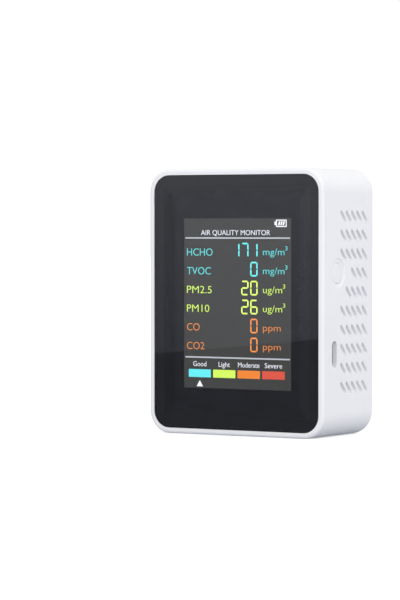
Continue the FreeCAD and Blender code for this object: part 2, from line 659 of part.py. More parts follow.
def make_board():
    body = front_plate("main_pcb", "dims.board_front", "dims.board_thick", "dims.board_wide",
                       "dims.board_high", "0", "dims.board_z", corner="dims.board_corner")
    sketch = new_sketch(body, "holes", "XZ_Plane", "-dims.post_x", "dims.post_low",
                        f"-{behind('dims.board_front')}")
    draw_circle(sketch, "dims.board_hole")
    first = pocket(body, sketch, "dims.board_thick")
    grid(body, first, sketch, 2, "2 * dims.post_x", 2, "dims.post_pitch")
    for name, values in BLOCKS:
        x, z, wide, deep, high, radius = (f"dims.{name}_{word}" for word in BLOCK_SIZES)
        rounded_block(name, radius, x, "dims.board_rear", z, wide, deep, high)
    for name, values in CANS:
        can(name)


def make_usb_port():
    """The charging receptacle: a drawn steel shell round a moulded body with a tongue."""
    shell = new_body("usb_c_shell")
    mouth = "dims.body_width / 2 - dims.usb_sink"
    centre = (behind("dims.port_back"), "dims.port_z")
    outside = new_sketch(shell, "outside", "YZ_Plane", *centre, f"{mouth} - dims.usb_deep")
    draw_slot(outside, "dims.usb_long", "dims.usb_wide", 0)
    pad(shell, outside, "dims.usb_deep")
    inside = new_sketch(shell, "inside", "YZ_Plane", *centre, mouth)
    inner_long = "dims.usb_long - 2 * dims.usb_wall"
    inner_wide = "dims.usb_wide - 2 * dims.usb_wall"
    draw_slot(inside, f"({inner_long})", f"({inner_wide})", 0)
    pocket(shell, inside, "dims.usb_deep")

    tongue = new_body("usb_c_tongue")
    base = new_sketch(tongue, "base", "YZ_Plane", *centre, f"{mouth} - dims.usb_deep")
    draw_slot(base, f"({inner_long} - dims.usb_fit)", f"({inner_wide} - dims.usb_fit)", 0)
    pad(tongue, base, "dims.tongue_base")
    blade = new_sketch(tongue, "blade", "YZ_Plane", *centre, f"{mouth} - dims.usb_deep + dims.tongue_base")
    draw_rectangle(blade, "dims.tongue_thick", "dims.tongue_wide")
    pad(tongue, blade, "dims.usb_deep - dims.tongue_base - dims.tongue_sink")


# The button and its switch


def make_button():
    """A nearly flat cap, with a flange that keeps it in the shell and a stem towards the switch."""
    body = doc.addObject("PartDesign::Body", "button_blank")
    centre = (behind("dims.button_back"), "dims.button_z")
    face = "dims.body_width / 2 - dims.button_sink"
    flange_rear = f"{face} - dims.cap_long - dims.flange_thick"
    steps = [("stem", "dims.stem_radius", f"{flange_rear} - dims.stem_long", "dims.stem_long"),
             ("flange", "dims.flange_radius", flange_rear, "dims.flange_thick"),
             ("cap", "dims.button_radius", f"{face} - dims.cap_long", "dims.cap_long")]
    for name, radius, start, length in steps:
        sketch = new_sketch(body, name, "YZ_Plane", *centre, start)
        draw_circle(sketch, radius)
        pad(body, sketch, length)
    tip_x = dims.body_width / 2 - dims.button_sink
    round_edges(body, "dims.button_round", lambda edge: abs(edge.BoundBox.XMin - tip_x) < 1e-4)
    ball = doc.addObject("Part::Sphere", "button_dome")
    dome_radius = "(dims.button_radius ^ 2 + dims.dome_rise ^ 2) / (2 * dims.dome_rise)"
    ball.setExpression("Radius", dome_radius)
    ball.setExpression(".Placement.Base.x", f"{face} - {dome_radius}")
    ball.setExpression(".Placement.Base.y", centre[0])
    ball.setExpression(".Placement.Base.z", centre[1])
    cap = doc.addObject("Part::Common", "power_button")
    cap.Label = "power_button"
    cap.Base = body
    cap.Tool = ball
    nodes.append(cap)


def make_switch():
    """A side-push switch on the board's edge: its body, and the plunger that the button's stem meets."""
    body = new_body("tact_switch_body")
    deep = "dims.button_back + dims.switch_behind - dims.board_rear"
    outline = new_sketch(body, "outline", "YZ_Plane", behind(f"dims.board_rear + ({deep}) / 2"),
                         "dims.button_z", "dims.switch_inner")
    draw_rectangle(outline, deep, "dims.switch_high")
    pad(body, outline, "dims.switch_long")
    centre = (behind("dims.button_back"), "dims.button_z")
    mouth = "dims.switch_inner + dims.switch_long"
    bore = new_sketch(body, "bore", "YZ_Plane", *centre, mouth)
    draw_circle(bore, "dims.plunger_radius + dims.plunger_gap")
    pocket(body, bore, "dims.plunger_bore")
    plunger = new_body("tact_switch_plunger")
    start = f"{mouth} - dims.plunger_bore + dims.plunger_rest"
    rod = new_sketch(plunger, "rod", "YZ_Plane", *centre, start)
    draw_circle(rod, "dims.plunger_radius")
    pad(plunger, rod, "dims.plunger_long")


# The battery


def make_battery():
    """The cell on its pad, the foam round it and round the particle sensor, and its two leads."""
    pad_front = "dims.body_depth - dims.cover_sink - dims.cover_thick - dims.pad_thick"
    rounded_block("battery_cell", "dims.battery_round", "0", f"{pad_front} - dims.battery_thick",
                  "dims.battery_z", "dims.battery_wide", "dims.battery_thick", "dims.battery_high")
    rounded_block("battery_foam_pad", "dims.pad_round", "0", pad_front, "dims.battery_z",
                  "dims.battery_pad_wide", "dims.pad_thick", "dims.battery_pad_high")
    rounded_block("sensor_foam_pad", "dims.pad_round", "dims.sensor_x", pad_front, "dims.sensor_z",
                  "dims.sensor_pad_wide", "dims.pad_thick", "dims.sensor_pad_high")
    rounded_block("battery_foam_cushion", "dims.pad_round", "0", "dims.cushion_front", "dims.battery_z",
                  "dims.cushion_wide", "dims.cushion_thick", "dims.cushion_high")
    rounded_block("divider_foam", "dims.pad_round", "0", "dims.divider_front", "dims.divider_z",
                  "dims.divider_wide", "dims.divider_deep", "dims.divider_high")
    make_lead("battery_lead_red", dims.lead_red_x)
    make_lead("battery_lead_black", dims.lead_black_x)


def make_lead(label, x):
    """A lead from the top of the cell, over and forward, then down into the connector on the board."""
    bend = dims.lead_bend
    cell_top = dims.battery_z + dims.battery_high / 2
    pad_front = dims.body_depth / 2 - dims.cover_sink - dims.cover_thick - dims.pad_thick
    cell_y = pad_front - dims.battery_thick / 2
    board_y = dims.board_rear + dims.lead_plug - dims.body_depth / 2
    low = cell_top + dims.lead_rise
    high = low + bend
    slant = bend * math.sqrt(0.5)
    connector_top = dims.battery_connector_z + dims.battery_connector_high / 2
    rear_bend = Part.Arc(Vector(x, cell_y, low), Vector(x, cell_y - bend + slant, low + slant),
                         Vector(x, cell_y - bend, high))
    front_bend = Part.Arc(Vector(x, board_y + bend, high), Vector(x, board_y + bend - slant, low + slant),
                          Vector(x, board_y, low))
    spine = Part.Wire([
        Part.LineSegment(Vector(x, cell_y, cell_top), Vector(x, cell_y, low)).toShape(),
        rear_bend.toShape(),
        Part.LineSegment(Vector(x, cell_y - bend, high), Vector(x, board_y + bend, high)).toShape(),
        front_bend.toShape(),
        Part.LineSegment(Vector(x, board_y, low), Vector(x, board_y, connector_top)).toShape(),
    ])
    ring = Part.Circle(Vector(x, cell_y, cell_top), Vector(0, 0, 1), dims.lead_radius).toShape()
    lead = doc.addObject("Part::Feature", label)
    lead.Shape = spine.makePipeShell([Part.Wire([ring])], True, False)
    lead.Label = label
    nodes.append(lead)


# The particle sensor


def make_particle_sensor():
    rear = "dims.body_depth - dims.cover_sink - dims.cover_thick - dims.pad_thick"
    front = f"({rear} - dims.sensor_deep)"
    tray_deep = "dims.sensor_deep - dims.sensor_wall"
    tray = front_plate("pm_sensor_case", front, tray_deep, "dims.sensor_wide", "dims.sensor_high",
                       "dims.sensor_x", "dims.sensor_z", corner="dims.sensor_corner")
    cut_window(tray, "hollow", f"{front} + dims.sensor_wall", tray_deep,
               "dims.sensor_wide - 2 * dims.sensor_wall", "dims.sensor_high - 2 * dims.sensor_wall",
               "dims.sensor_x", "dims.sensor_z")
    fan_y = behind(f"{front} + dims.sensor_wall + dims.fan_side / 2 + dims.fan_gap")
    outlet = new_sketch(tray, "outlet", "YZ_Plane", fan_y, "dims.fan_z",
                        "dims.sensor_x + dims.sensor_wide / 2")
    draw_circle(outlet, "dims.fan_bore")
    pocket(tray, outlet, "dims.sensor_wall")
    inlet = new_sketch(tray, "inlet", "YZ_Plane", fan_y, "dims.inlet_z",
                       "dims.sensor_x - dims.sensor_wide / 2")
    draw_slot(inlet, "dims.inlet_long", "dims.inlet_wide", 0)
    pocket(tray, inlet, "dims.sensor_wall", along_normal=True)
    front_plate("pm_sensor_cover", f"{front} + {tray_deep}", "dims.sensor_wall", "dims.sensor_wide",
                "dims.sensor_high", "dims.sensor_x", "dims.sensor_z", corner="dims.sensor_corner")
    make_fan(fan_y)
    make_laser(fan_y)


def make_fan(fan_y):
    """An axial fan that blows towards +X: a square frame with a vented back plate and a bush, and a rotor
    whose spindle turns in the bush."""
    frame = new_body("pm_fan_frame")
    centre = (fan_y, "dims.fan_z")
    outline = new_sketch(frame, "outline", "YZ_Plane", *centre, "dims.fan_x")
    draw_rectangle(outline, "dims.fan_side", "dims.fan_side")
    pad(frame, outline, "dims.fan_thick")
    bore = new_sketch(frame, "bore", "YZ_Plane", *centre, "dims.fan_x + dims.fan_thick")
    draw_circle(bore, "dims.fan_bore")
    pocket(frame, bore, "dims.fan_thick - dims.fan_back")
    vent = new_sketch(frame, "vent", "YZ_Plane", f"{fan_y} + dims.fan_vent_out", "dims.fan_z",
                      "dims.fan_x + dims.fan_back")
    draw_circle(vent, "dims.fan_vent_radius")
    first = pocket(frame, vent, "dims.fan_back")
    ring = frame.newObject("PartDesign::PolarPattern", "fan_frame_vents")
    ring.Originals = [first]
    ring.Axis = (outline, ["N_Axis"])
    ring.Angle = 360
    ring.setExpression("Occurrences", "dims.fan_vent_count")
    frame.Tip = ring
    doc.recompute()
    bush = new_sketch(frame, "bush", "YZ_Plane", *centre, "dims.fan_x + dims.fan_back")
    draw_circle(bush, "dims.bush_radius")
    pad(frame, bush, "dims.bush_long")
    bush_end = "dims.fan_x + dims.fan_back + dims.bush_long"
    bush_bore = new_sketch(frame, "bush_bore", "YZ_Plane", *centre, bush_end)
    draw_circle(bush_bore, "dims.spindle_radius + dims.spindle_fit")
    pocket(frame, bush_bore, "dims.bush_bore")

    rotor = new_body("pm_fan_rotor")
    start = f"{bush_end} + dims.rotor_lift"
    hub = new_sketch(rotor, "hub", "YZ_Plane", *centre, start)
    draw_circle(hub, "dims.hub_radius")
    pad(rotor, hub, "dims.hub_long")
    spindle = new_sketch(rotor, "spindle", "YZ_Plane", *centre, f"{start} - dims.spindle_long")
    draw_circle(spindle, "dims.spindle_radius")
    pad(rotor, spindle, "dims.spindle_long")
    span = "(dims.rotor_radius - dims.hub_radius + dims.blade_root)"
    blade_z = f"dims.fan_z + dims.rotor_radius - {span} / 2"
    blade = new_sketch(rotor, "blade", "YZ_Plane", fan_y, blade_z, start)
    draw_rectangle(blade, "dims.blade_thick", span)
    blade_pad = pad(rotor, blade, "dims.hub_long")
    fan = rotor.newObject("PartDesign::PolarPattern", "rotor_blades")
    fan.Originals = [blade_pad]
    fan.Axis = (hub, ["N_Axis"])
    fan.Angle = 360
    fan.setExpression("Occurrences", "dims.blade_count")
    rotor.Tip = fan
    doc.recompute()


def make_laser(fan_y):
    """The laser barrel, held in its block across the sensor's air channel."""
    body = new_body("pm_laser_module")
    centre = (fan_y, "dims.inlet_z")
    holder = new_sketch(body, "holder", "YZ_Plane", *centre, "dims.laser_x")
    draw_rectangle(holder, "dims.laser_deep", "dims.laser_side")
    pad(body, holder, "dims.laser_side")
    barrel = new_sketch(body, "barrel", "YZ_Plane", *centre, "dims.laser_x - dims.barrel_long")
    draw_circle(barrel, "dims.barrel_radius")
    pad(body, barrel, "dims.barrel_long")


# Screws


def screw(head_radius, head_high, shank_radius, shank_long):
    """A pan-head screw along Y, its head towards +Y with a cross recess, its seat at the origin."""
    head = Part.makeCylinder(head_radius, head_high, Vector(), Vector(0, 1, 0))
    rim = [edge for edge in head.Edges if at_y(edge, head_high)]
    head = head.makeFillet(head_high * 0.35, rim)
    shank = Part.makeCylinder(shank_radius, shank_long, Vector(), Vector(0, -1, 0))
    solid = head.fuse(shank)
    arm = head_radius * 1.25
    slit = head_radius * 0.3
    deep = head_high * 0.6
    for wide, high in ((arm, slit), (slit, arm)):
        bar = Part.makeBox(wide, deep, high, Vector(-wide / 2, head_high - deep, -high / 2))
        solid = solid.cut(bar)
    return solid


def make_screws(label, kind, seat, *sizes):
    """Four equal screws, one on each of the shell's bosses or posts."""
    across = dims.getPropertyByName(f"{kind}_x")
    low = dims.getPropertyByName(f"{kind}_low")
    pitch = dims.getPropertyByName(f"{kind}_pitch")
    one = screw(*sizes)
    y = seat - dims.body_depth / 2
    copies = []
    for x in (-across, across):
        for z in (low, low + pitch):
            copies.append(one.translated(Vector(x, y, z)))
    group = doc.addObject("Part::Feature", label)
    group.Shape = Part.makeCompound(copies)
    group.Label = label
    nodes.append(group)


def check_and_write():
    """Stops on any failed object or bad shape, and then writes one file for each sub-part."""
    doc.recompute()
    for item in doc.Objects:
        if "Invalid" in item.State or "Error" in item.State:
            raise RuntimeError(f"{item.Name} failed: {item.State}")
    for node in nodes:
        if node.Shape.isNull() or not node.Shape.isValid():
            raise RuntimeError(f"{node.Label} has no valid shape")
    os.makedirs("parts", exist_ok=True)
    for node in nodes:
        node.Shape.exportStep(f"parts/{node.Label}.step")
    print(f"{len(nodes)} sub-parts")


make_housing()
make_rear_cover()
make_panel()
make_display()
make_board()
make_usb_port()
make_button()
make_switch()
make_battery()
make_particle_sensor()
make_screws("cover_screws", "boss", dims.body_depth - dims.cover_sink - dims.head_sink,
            dims.head_radius, dims.head_high, dims.boss_hole, dims.cover_screw_long)
make_screws("pcb_screws", "post", dims.board_rear,
            dims.board_head_radius, dims.board_head_high, dims.post_hole, dims.board_screw_long)
check_and_write()
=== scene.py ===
"""Looks of the air quality monitor: its materials, the lit screen, the studio and the camera.

Lengths are metres in the CAD frame, where X is the object's right, Y goes away from the viewer and Z is up.
The screen's own layout is in millimetres, across from its centre line and up from the standing surface.
"""

import math

import bpy
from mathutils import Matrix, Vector


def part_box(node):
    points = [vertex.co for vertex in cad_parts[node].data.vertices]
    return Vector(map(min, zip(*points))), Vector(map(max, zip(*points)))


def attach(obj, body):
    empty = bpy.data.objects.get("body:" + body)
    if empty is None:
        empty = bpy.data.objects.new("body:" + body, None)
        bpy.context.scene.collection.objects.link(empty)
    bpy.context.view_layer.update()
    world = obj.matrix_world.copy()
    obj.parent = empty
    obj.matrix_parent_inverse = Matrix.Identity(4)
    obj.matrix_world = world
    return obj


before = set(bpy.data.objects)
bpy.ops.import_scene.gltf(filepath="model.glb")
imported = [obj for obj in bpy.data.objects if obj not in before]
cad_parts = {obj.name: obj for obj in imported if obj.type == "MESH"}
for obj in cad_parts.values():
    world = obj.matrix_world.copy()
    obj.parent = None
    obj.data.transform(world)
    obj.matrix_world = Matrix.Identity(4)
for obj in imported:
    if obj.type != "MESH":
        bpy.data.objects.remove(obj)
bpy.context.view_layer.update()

MM = 0.001
DOT_PITCH = 0.18 * MM  # one dot of the display
PANEL_GLOSS = 0.5  # specular level of the lit parts right behind the polished sheet
GLOSS_BLEND = (3.5 * MM, 8 * MM)  # distance from the edge: all on the sheet, all on the film
SHELL_COLOUR = (0.915, 0.921, 0.939)
SOCKETS = {
    "metallic": "Metallic",
    "ior": "IOR",
    "specular": "Specular IOR Level",
    "coat": "Coat Weight",
    "coat_roughness": "Coat Roughness",
    "sheen": "Sheen Weight",
    "sheen_roughness": "Sheen Roughness",
    "transmission": "Transmission Weight",
    "glow": "Emission Strength",
}


# ---------------------------------------------------------------- materials


class Finish:
    """One procedural material: its Principled shader and the pattern nodes that feed it."""

    def __init__(self, name, colour, roughness, **sockets):
        self.material = bpy.data.materials.new(name)
        self.material.use_nodes = True
        self.tree = self.material.node_tree
        self.shader = self.tree.nodes["Principled BSDF"]
        self.place = self.tree.nodes.new("ShaderNodeTexCoord").outputs["Object"]
        self.relief = None
        self.shader.inputs["Base Color"].default_value = (*colour, 1.0)
        self.shader.inputs["Roughness"].default_value = roughness
        for word, value in sockets.items():
            self.shader.inputs[SOCKETS[word]].default_value = value

    def stretched(self, stretch):
        """The object's own coordinates, pulled out along an axis when `stretch` says so."""
        if stretch == (1, 1, 1):
            return self.place
        node = self.tree.nodes.new("ShaderNodeVectorMath")
        node.operation = "DIVIDE"
        self.tree.links.new(self.place, node.inputs[0])
        node.inputs[1].default_value = stretch
        return node.outputs["Vector"]

    def clouds(self, size, detail=3.0, stretch=(1, 1, 1)):
        """A cloudy pattern with blotches about `size` across."""
        node = self.tree.nodes.new("ShaderNodeTexNoise")
        node.inputs["Scale"].default_value = 1.0 / size
        node.inputs["Detail"].default_value = detail
        self.tree.links.new(self.stretched(stretch), node.inputs["Vector"])
        return node.outputs["Fac"]

    def cells(self, size, edges=False):
        """A pattern of rounded cells about `size` across, or the walls between them."""
        node = self.tree.nodes.new("ShaderNodeTexVoronoi")
        if edges:
            node.feature = "DISTANCE_TO_EDGE"
        node.inputs["Scale"].default_value = 1.0 / size
        self.tree.links.new(self.place, node.inputs["Vector"])
        return node.outputs["Distance"]

    def bands(self, size, direction):
        """Straight bands across `direction`, one every `size`."""
        node = self.tree.nodes.new("ShaderNodeTexWave")
        node.bands_direction = direction
        node.inputs["Scale"].default_value = math.pi / (10.0 * size)
        self.tree.links.new(self.place, node.inputs["Vector"])
        return node.outputs["Fac"]

    def along(self, axis):
        """The place's own X, Y or Z."""
        node = self.tree.nodes.new("ShaderNodeSeparateXYZ")
        self.tree.links.new(self.place, node.inputs[0])
        return node.outputs[axis]

    def arithmetic(self, operation, first, second):
        """An arithmetic operation on two patterns or numbers."""
        node = self.tree.nodes.new("ShaderNodeMath")
        node.operation = operation
        for value, socket in ((first, node.inputs[0]), (second, node.inputs[1])):
            if isinstance(value, (int, float)):
                socket.default_value = value
            else:
                self.tree.links.new(value, socket)
        return node.outputs[0]

    def inside(self, low, high):
        """How far the place lies inside the nearest edge of the upright rectangle low..high."""
        nearest = []
        for axis, start, end in (("X", low.x, high.x), ("Z", low.z, high.z)):
            place = self.along(axis)
            gaps = (self.arithmetic("SUBTRACT", place, start), self.arithmetic("SUBTRACT", end, place))
            nearest.append(self.arithmetic("MINIMUM", *gaps))
        return self.arithmetic("MINIMUM", *nearest)

    def spread(self, pattern, low, high, start=0.3, end=0.7):
        """The pattern's start..end turned into low..high."""
        node = self.tree.nodes.new("ShaderNodeMapRange")
        self.tree.links.new(pattern, node.inputs["Value"])
        for word, value in (("From Min", start), ("From Max", end), ("To Min", low), ("To Max", high)):
            node.inputs[word].default_value = value
        return node.outputs["Result"]

    def colours(self, pattern, first, second, start=0.3, end=0.7, socket="Base Color"):
        """Colours the surface from `first` to `second` as the pattern rises."""
        node = self.tree.nodes.new("ShaderNodeValToRGB")
        node.color_ramp.elements[0].position = start
        node.color_ramp.elements[0].color = (*first, 1.0)
        node.color_ramp.elements[1].position = end
        node.color_ramp.elements[1].color = (*second, 1.0)
        self.tree.links.new(pattern, node.inputs["Fac"])
        self.tree.links.new(node.outputs["Color"], self.shader.inputs[socket])
        return self

    def coats(self, share):
        """Clear gloss over the surface, where the pattern `share` rises to 1."""
        self.tree.links.new(share, self.shader.inputs["Coat Weight"])
        return self

    def roughens(self, pattern, low, high):
        """Roughness from `low` to `high` as the pattern rises."""
        self.tree.links.new(self.spread(pattern, low, high), self.shader.inputs["Roughness"])
        return self

    def raises(self, pattern, height, strength=1.0):
        """Adds a relief `height` metres tall to what is already there."""
        node = self.tree.nodes.new("ShaderNodeBump")
        node.inputs["Strength"].default_value = strength
        node.inputs["Distance"].default_value = height
        self.tree.links.new(pattern, node.inputs["Height"])
        if self.relief:
            self.tree.links.new(self.relief, node.inputs["Normal"])
        self.relief = node.outputs["Normal"]
        self.tree.links.new(self.relief, self.shader.inputs["Normal"])
        return self


def lighter(colour, by):
    """The colour made lighter (by over 1) or darker."""
    return tuple(min(1.0, part * by) for part in colour)


def moulded(name, colour, roughness, grain=0.3 * MM, relief=0.006 * MM, **sockets):
    """Moulded plastic: a fine spark-eroded grain, with a slightly uneven tone and sheen."""
    made = Finish(name, colour, roughness, **sockets)
    made.colours(made.clouds(14 * MM, 2.0), lighter(colour, 0.988), lighter(colour, 1.008))
    made.roughens(made.clouds(0.9 * MM, 4.0), roughness - 0.05, roughness + 0.06)
    made.raises(made.clouds(grain, 4.0), relief)
    return made


def shell_white():
    made = moulded("shell_white", SHELL_COLOUR, 0.42, specular=0.42)
    return made.raises(made.clouds(26 * MM, 1.0), 0.02 * MM)


def button_white():
    return moulded("button_white", SHELL_COLOUR, 0.4, grain=0.22 * MM, relief=0.003 * MM)


def glossy_part(made, at_edge, in_middle):
    """A panel surface's share of the gloss, from the panel's edge to its middle."""
    return made.spread(made.inside(*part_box("front_panel")), at_edge, in_middle, *GLOSS_BLEND)


def panel_acrylic():
    """Clear sheet. The film behind it carries its gloss, except near the edge, where its front face does."""
    made = Finish("panel_acrylic", (0.985, 0.99, 1.0), 0.0, ior=1.03, transmission=1.0, coat_roughness=0.0)
    low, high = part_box("front_panel")
    on_front = made.arithmetic("LESS_THAN", made.along("Y"), (low.y + high.y) / 2)
    made.coats(made.arithmetic("MULTIPLY", on_front, glossy_part(made, 1.0, 0.0)))
    return made.roughens(made.clouds(9 * MM, 3.0), 0.0, 0.006)


def mask_black():
    """Black print seen through the polished sheet: deep black, with the sheet's gloss away from its edge."""
    made = Finish("mask_black", (0.0012, 0.0012, 0.002), 0.6, specular=0.0, coat_roughness=0.0)
    made.coats(glossy_part(made, 0.0, 1.0))
    made.colours(made.clouds(0.08 * MM, 2.0), (0.0008, 0.0008, 0.0014), (0.0018, 0.0018, 0.0028))
    return made.roughens(made.clouds(9 * MM, 3.0), 0.55, 0.7)


def tape_black():
    made = Finish("tape_black", (0.012, 0.012, 0.013), 0.85)
    made.roughens(made.clouds(1 * MM), 0.75, 0.95)
    return made.raises(made.cells(0.25 * MM), 0.03 * MM)


def display_cell():
    """Liquid crystal cell with its backlight on: a dark grey glow through a fine grid of dots."""
    made = Finish("display_cell", (0.002, 0.002, 0.002), 0.0, specular=PANEL_GLOSS, glow=1.0)
    dots = made.bands(DOT_PITCH, "X")
    made.colours(dots, (0.041, 0.041, 0.0365), (0.049, 0.049, 0.0445), 0.2, 0.8, "Emission Color")
    return made.roughens(made.clouds(4 * MM), 0.0, 0.02)


def backlight_white():
    made = moulded("backlight_white", (0.78, 0.79, 0.8), 0.45)
    return made.raises(made.bands(2.2 * MM, "Z"), 0.04 * MM)


def flex_amber():
    """Polyimide ribbon over copper tracks."""
    made = Finish("flex_amber", (0.5, 0.24, 0.05), 0.32, coat=0.4, coat_roughness=0.2)
    tracks = made.bands(0.8 * MM, "X")
    made.colours(tracks, (0.36, 0.15, 0.025), (0.62, 0.33, 0.08), 0.42, 0.56)
    made.roughens(made.clouds(1.5 * MM), 0.26, 0.4)
    return made.raises(tracks, 0.02 * MM)


def connector_ivory():
    made = moulded("connector_ivory", (0.72, 0.67, 0.52), 0.5)
    return made.raises(made.bands(1.0 * MM, "X"), 0.05 * MM)


def board_green():
    """Glass laminate under green resist: tracks, weave and a faint marbling of the resist."""
    made = Finish("board_green", (0.015, 0.13, 0.05), 0.33, coat=0.35, coat_roughness=0.15)
    walls = made.cells(3.4 * MM, edges=True)
    made.colours(walls, (0.035, 0.24, 0.09), (0.012, 0.115, 0.045), 0.05, 0.09)
    made.raises(walls, 0.03 * MM, 0.5)
    made.raises(made.bands(0.5 * MM, "Z"), 0.004 * MM)
    made.raises(made.bands(0.5 * MM, "X"), 0.004 * MM)
    return made.roughens(made.clouds(2 * MM), 0.26, 0.42)


def chip_black():
    made = moulded("chip_black", (0.02, 0.02, 0.022), 0.62, grain=0.1 * MM, relief=0.01 * MM)
    return made.colours(made.clouds(0.5 * MM, 4.0), (0.014, 0.014, 0.016), (0.03, 0.03, 0.033))


def sensor_brass():
    made = Finish("sensor_brass", (0.72, 0.53, 0.25), 0.3, metallic=1.0)
    made.colours(made.clouds(1.4 * MM, 4.0), (0.62, 0.44, 0.19), (0.78, 0.59, 0.3))
    made.roughens(made.clouds(0.4 * MM), 0.22, 0.4)
    return made.raises(made.clouds(0.15 * MM, 2.0), 0.004 * MM)


def can_white():
    made = moulded("can_white", (0.8, 0.8, 0.77), 0.5)
    return made.raises(made.cells(0.6 * MM), 0.02 * MM)


def drawn_steel(name, colour, roughness, along):
    """Bright drawn or plated steel with fine lines along one axis."""
    made = Finish(name, colour, roughness, metallic=1.0)
    lines = made.clouds(0.12 * MM, 3.0, along)
    made.colours(made.clouds(3 * MM), lighter(colour, 0.88), lighter(colour, 1.08))
    made.roughens(lines, roughness - 0.07, roughness + 0.1)
    return made.raises(lines, 0.003 * MM)


def can_steel():
    return drawn_steel("can_steel", (0.6, 0.6, 0.61), 0.3, (1, 30, 1))


def steel():
    return drawn_steel("steel", (0.66, 0.65, 0.63), 0.26, (8, 1, 8))


# The port's shell steel is much darker than the other steel. This is partly a darker plating and partly
# painted shade for the shadow inside the recessed port.
def port_steel_and_painted_shade():
    return drawn_steel("port_steel_and_painted_shade", (0.3, 0.3, 0.31), 0.34, (8, 1, 8))


def moulded_black():
    return moulded("moulded_black", (0.022, 0.022, 0.024), 0.5)


def plunger_red():
    return moulded("plunger_red", (0.45, 0.03, 0.025), 0.42)


def battery_silver():
    """Foil laminate pouch with soft creases."""
    made = Finish("battery_silver", (0.72, 0.73, 0.75), 0.38, metallic=0.85)
    made.colours(made.clouds(5 * MM), (0.66, 0.67, 0.69), (0.78, 0.79, 0.81))
    made.roughens(made.clouds(1 * MM), 0.3, 0.48)
    made.raises(made.clouds(6 * MM, 3.0), 0.12 * MM)
    return made.raises(made.cells(0.5 * MM), 0.006 * MM)


def foam_grey():
    made = Finish("foam_grey", (0.16, 0.16, 0.17), 0.95, sheen=0.2, sheen_roughness=0.6)
    made.colours(made.cells(0.45 * MM), (0.22, 0.22, 0.23), (0.1, 0.1, 0.11))
    return made.raises(made.cells(0.45 * MM), 0.12 * MM)


def sleeve(name, colour):
    """Silicone wire sleeve: soft shine, a little dust and slight flow lines."""
    made = Finish(name, colour, 0.42, sheen=0.1, sheen_roughness=0.4)
    made.colours(made.clouds(1.2 * MM), lighter(colour, 0.85), lighter(colour, 1.2))
    made.roughens(made.clouds(0.6 * MM), 0.36, 0.52)
    return made.raises(made.clouds(0.2 * MM, 2.0), 0.006 * MM)


def lead_red():
    return sleeve("lead_red", (0.55, 0.02, 0.02))


def lead_black():
    return sleeve("lead_black", (0.015, 0.015, 0.016))


def sensor_case_grey():
    return moulded("sensor_case_grey", (0.2, 0.22, 0.24), 0.46)


FINISHES = {
    shell_white: ("front_housing", "rear_cover"),
    button_white: ("power_button",),
    panel_acrylic: ("front_panel",),
    mask_black: ("panel_print_film",),
    tape_black: ("panel_adhesive",),
    display_cell: ("lcd_glass",),
    backlight_white: ("lcd_backlight",),
    flex_amber: ("lcd_flex",),
    connector_ivory: ("fpc_connector", "battery_connector"),
    board_green: ("main_pcb",),
    chip_black: ("mcu_chip", "charger_chip"),
    sensor_brass: ("co2_sensor",),
    can_white: ("hcho_sensor",),
    can_steel: ("co_sensor", "voc_sensor"),
    steel: ("cover_screws", "pcb_screws"),
    port_steel_and_painted_shade: ("usb_c_shell",),
    moulded_black: (
        "usb_c_tongue",
        "tact_switch_body",
        "buzzer",
        "pm_fan_frame",
        "pm_fan_rotor",
        "pm_laser_module",
    ),
    plunger_red: ("tact_switch_plunger",),
    battery_silver: ("battery_cell",),
    foam_grey: ("battery_foam_pad", "sensor_foam_pad", "battery_foam_cushion", "divider_foam"),
    lead_red: ("battery_lead_red",),
    lead_black: ("battery_lead_black",),
    sensor_case_grey: ("pm_sensor_case", "pm_sensor_cover"),
}


def dress_nodes():
    """Gives every CAD node its finish."""
    undressed = set(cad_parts)
    for finish, names in FINISHES.items():
        material = finish().material
        for name in names:
            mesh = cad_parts[name].data
            mesh.materials.clear()
            mesh.materials.append(material)
            undressed.discard(name)
    if undressed:
        raise RuntimeError(f"nodes with no finish: {sorted(undressed)}")


# ---------------------------------------------------------------- the lit screen

CYAN = (0.115, 0.66, 0.66)
LIME = (0.60, 0.83, 0.125)
ORANGE = (0.67, 0.215, 0.045)
PALE = (0.44, 0.46, 0.495)
WHITE = (0.84, 0.84, 0.86)
LETTERING = (0.72, 0.74, 0.80)
THINNER = -0.007  # offset of the typeface's outline for labels and units, in type units
BRIGHTER = 1.3  # a reading's brightness against its label's
UNLIT = 0.3  # a glyph's base colour against its glow
CAPITAL = 0.729  # height of a capital of the built-in typeface at size 1
SMALL = 0.536  # height of its small letters
TYPE_DEPTH = 0.1  # any depth will do, because it only tells a letter's front from its back

# label, where the label ends, reading, unit, where the unit ends, colour
ROWS = (
    ("HCHO", -9.95, "171", "mg/m", 18.85, CYAN),
    ("TVOC", -10.7, "0", "mg/m", 18.85, CYAN),
    ("PM2.5", -10.3, "20", "ug/m", 17.95, LIME),
    ("PM10", -11.3, "26", "ug/m", 17.95, LIME),
    ("CO", -15.2, "0", "ppm", 17.4, ORANGE),
    ("CO2", -13.3, "0", "ppm", 17.4, ORANGE),
)
FIRST_BASELINE = 62.05
ROW_PITCH = 6.505
LABEL_LEFT = -20.4
LABEL_TALL = 2.7
UNIT_LEFT = 10.35
UNIT_LIFT = 0.3
UNIT_TALL = 1.8
POWER_TALL = 1.5
POWER_WIDE = 0.95
POWER_LIFT = 1.65
POWER_GAP = 0.25

DIGIT_RIGHT = 8.19
DIGIT_PITCH = 3.62
DIGIT_WIDE = 2.93
DIGIT_TALL = 5.06
DIGIT_DROP = 0.55
STROKE = 0.52
CORNER_CUT = 0.55
STROKE_GAP = 0.10
STROKE_TAPER = 0.45  # width of an upright stroke's inner end against its full width

HEADING = "AIR QUALITY MONITOR"
HEADING_ENDS = (-14.7, 13.2)
HEADING_BASE = 69.2
HEADING_TALL = 1.86

RULE_HALF = 21.05
RULE_TALL = 0.5
RULES = (68.2, 26.8)

